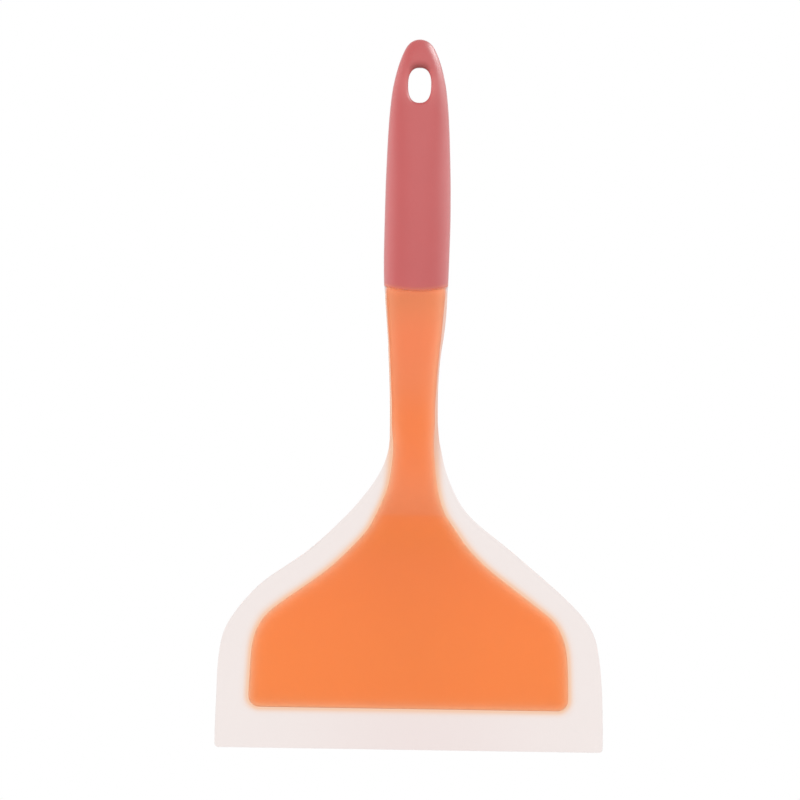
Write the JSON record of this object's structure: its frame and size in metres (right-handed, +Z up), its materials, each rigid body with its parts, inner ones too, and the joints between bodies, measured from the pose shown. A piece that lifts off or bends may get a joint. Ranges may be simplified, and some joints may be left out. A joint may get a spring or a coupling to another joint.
{
  "type": "silicone spatula",
  "caption": "Wide kitchen turner: flexible translucent silicone blade over a stiff nylon core, soft oval grip and an oval hanging hole.",
  "frame": {"origin": "centre of the hanging hole, half way through the grip's thickness", "axes": "+Z up the handle from the blade towards the hanging end, -Y out of the blade's food side, +X to the right as seen from the food side"},
  "size_m": [0.1668, 0.0348, 0.305],
  "materials": {
    "orange_nylon": "satin moulded nylon, bright orange",
    "clear_silicone": "translucent milky silicone, faintly pink, satin",
    "pink_silicone": "opaque dusky pink silicone, matte satin"
  },
  "bodies": {
    "root": {"nylon_core": "orange_nylon", "silicone_blade": "clear_silicone", "silicone_grip": "pink_silicone"}
  },
  "joints": []
}
